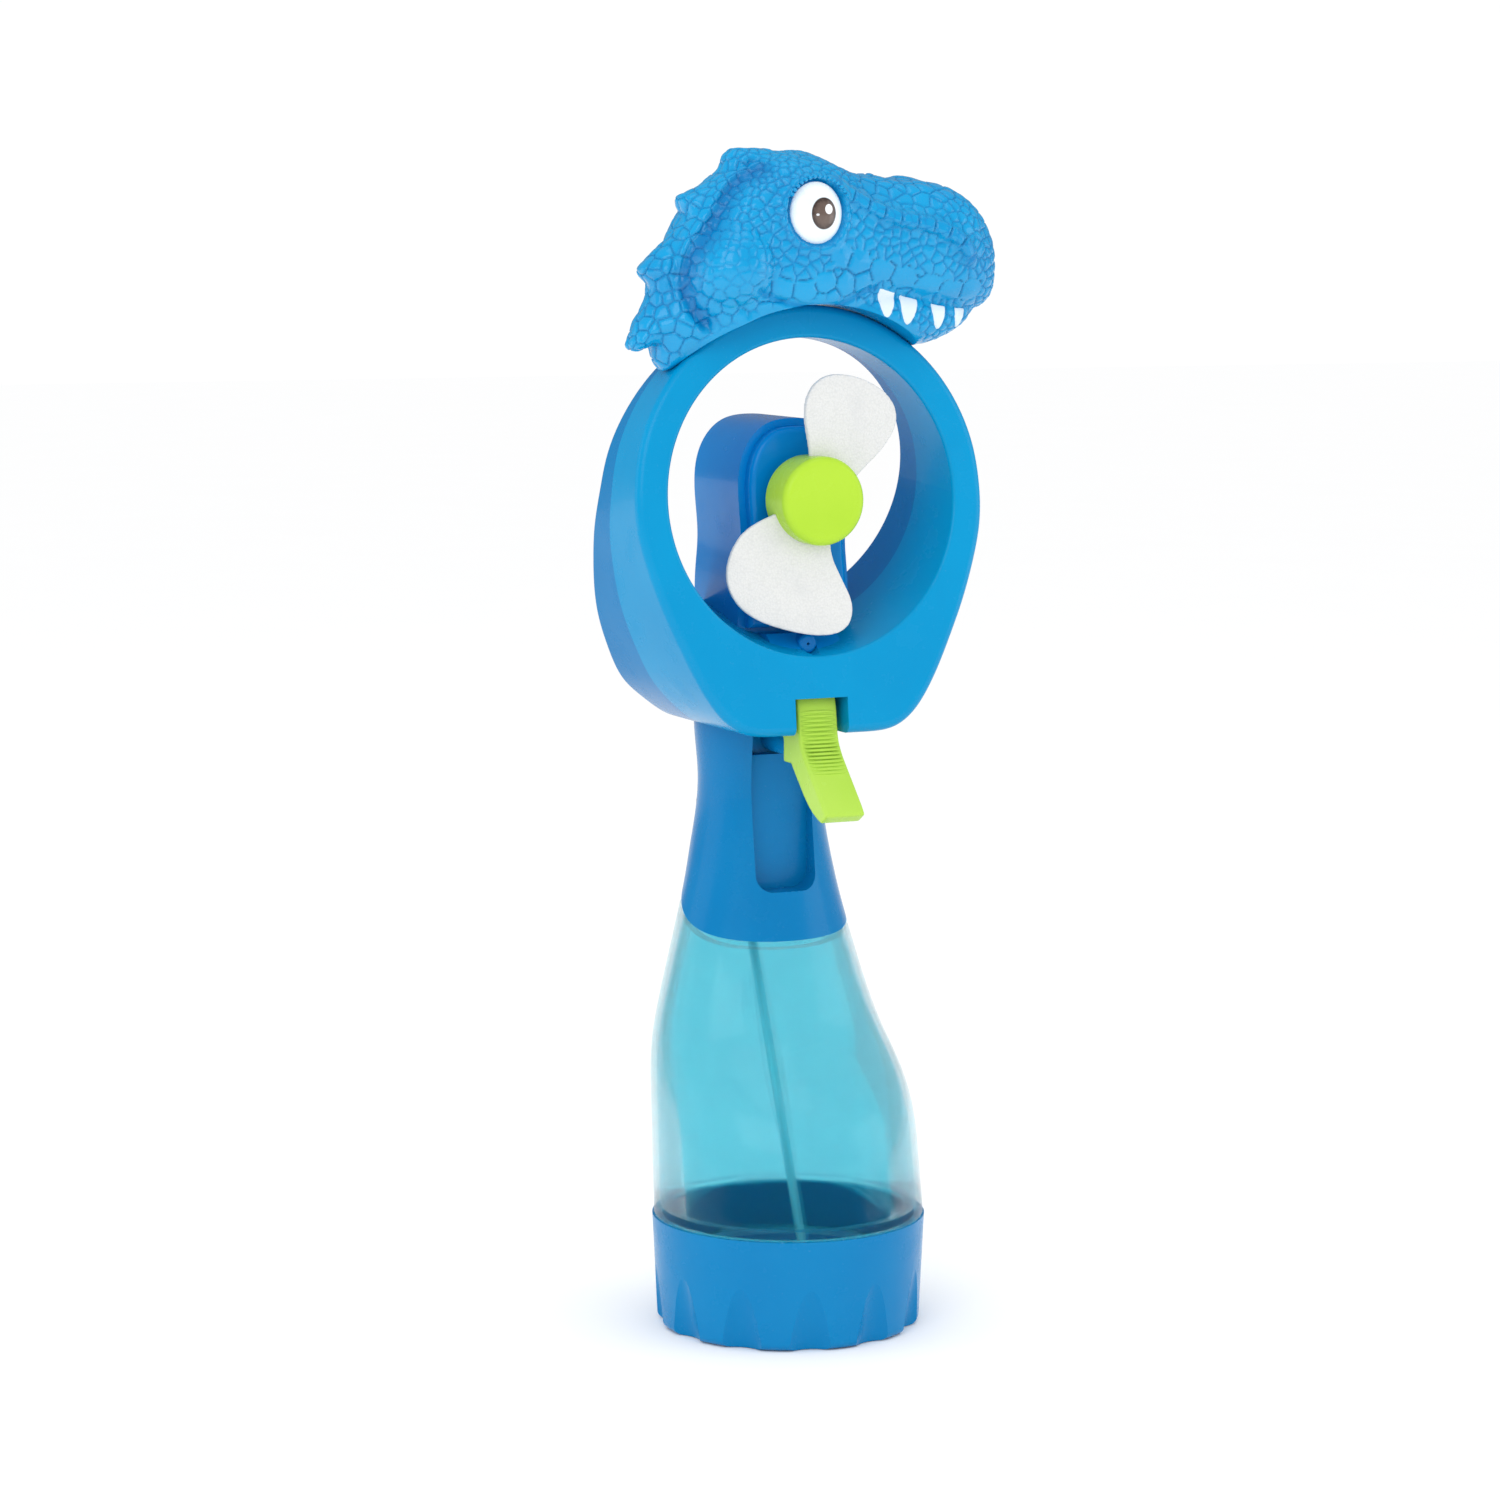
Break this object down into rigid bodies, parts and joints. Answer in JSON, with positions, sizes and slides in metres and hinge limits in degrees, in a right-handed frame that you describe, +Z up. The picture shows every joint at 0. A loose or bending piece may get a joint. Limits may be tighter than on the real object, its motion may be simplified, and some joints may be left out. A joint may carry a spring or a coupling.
{
  "type": "misting fan toy",
  "caption": "Hand-held water misting fan toy: blue dinosaur head on a round fan housing, lime trigger and fan hub, white foam blades and a clear aqua bottle.",
  "frame": {"origin": "centre of the base cap's underside", "axes": "+Z up through the bottle, -Y where the fan blows, +X where the snout points"},
  "size_m": [0.0947, 0.0676, 0.2866],
  "materials": {
    "blue_plastic": "glossy moulded plastic",
    "head_vinyl": "satin moulded vinyl with a scaly skin",
    "eye_white": "gloss paint",
    "clear_aqua": "translucent tinted plastic",
    "clear_tube": "milky flexible tube",
    "lime_plastic": "glossy moulded plastic",
    "white_foam": "soft foam sheet",
    "seal_rubber": "soft rubber",
    "white_plastic": "plain moulded plastic",
    "steel": "plain steel",
    "cell_jacket": "printed jacket",
    "dark_plastic": "plain moulded plastic"
  },
  "bodies": {
    "root": {"battery_cells": "cell_jacket", "battery_contact_bottom": "steel", "battery_contact_top": "steel", "battery_door": "blue_plastic", "bottle": "clear_aqua", "bottle_plug": "seal_rubber", "dip_tube": "clear_tube", "door_screw": "steel", "eye_front": "eye_white", "eye_rear": "eye_white", "handle_front_shell": "blue_plastic", "handle_rear_shell": "blue_plastic", "handle_screws": "steel", "head_front_shell": "head_vinyl", "head_rear_shell": "head_vinyl", "inlet_valve_ball": "steel", "mist_nozzle": "white_plastic", "motor_can": "steel", "motor_front_cover": "blue_plastic", "motor_housing": "blue_plastic", "nozzle_hose": "clear_tube", "pump_cylinder": "white_plastic", "pump_spring": "steel", "ring_front_shell": "blue_plastic", "ring_rear_shell": "blue_plastic", "switch_body": "dark_plastic", "trigger_pivot_pin": "steel"},
    "fan": {"fan_hub": "lime_plastic", "fan_blade_upper": "white_foam", "fan_blade_lower": "white_foam", "motor_shaft": "steel"},
    "trigger": {"trigger_lever": "lime_plastic"},
    "piston": {"pump_piston": "white_plastic", "piston_seal": "seal_rubber"},
    "cap_thread": {"base_cap_seal": "seal_rubber"},
    "cap": {"base_cap": "blue_plastic"},
    "switch_knob": {"switch_slider": "dark_plastic"}
  },
  "joints": [
    {"name": "fan_spin", "type": "hinge", "parent": "root", "child": "fan", "pos_m": [0, -0.0152, 0.203], "axis": [0, -1, 0], "continuous": true},
    {"name": "trigger_pull", "type": "hinge", "parent": "root", "child": "trigger", "pos_m": [0, -0.008, 0.158], "axis": [1, 0, 0], "range_deg": [0, 20], "stiffness_Nm_per_rad": 0.12, "springref_deg": -34.38},
    {"name": "piston_stroke", "type": "slide", "parent": "root", "child": "piston", "axis": [0, 1, 0], "range_m": [0, 0.0063], "deforming": ["pump_spring"]},
    {"name": "cap_unscrew", "type": "hinge", "parent": "cap_thread", "child": "cap", "pos_m": [0, 0, 0.0135], "axis": [0, 0, -1], "range_deg": [0, 720]},
    {"name": "cap_rise", "type": "slide", "parent": "root", "child": "cap_thread", "axis": [0, 0, -1], "range_m": [0, 0.0063]},
    {"name": "power_slide", "type": "slide", "parent": "root", "child": "switch_knob", "axis": [0, 0, 1], "range_m": [0, 0.004]}
  ],
  "couplings": [
    {"joint": "piston_stroke", "follows": "trigger_pull", "m_per_rad": 0.0178},
    {"joint": "cap_rise", "follows": "cap_unscrew", "m_per_rad": 0.0005}
  ]
}
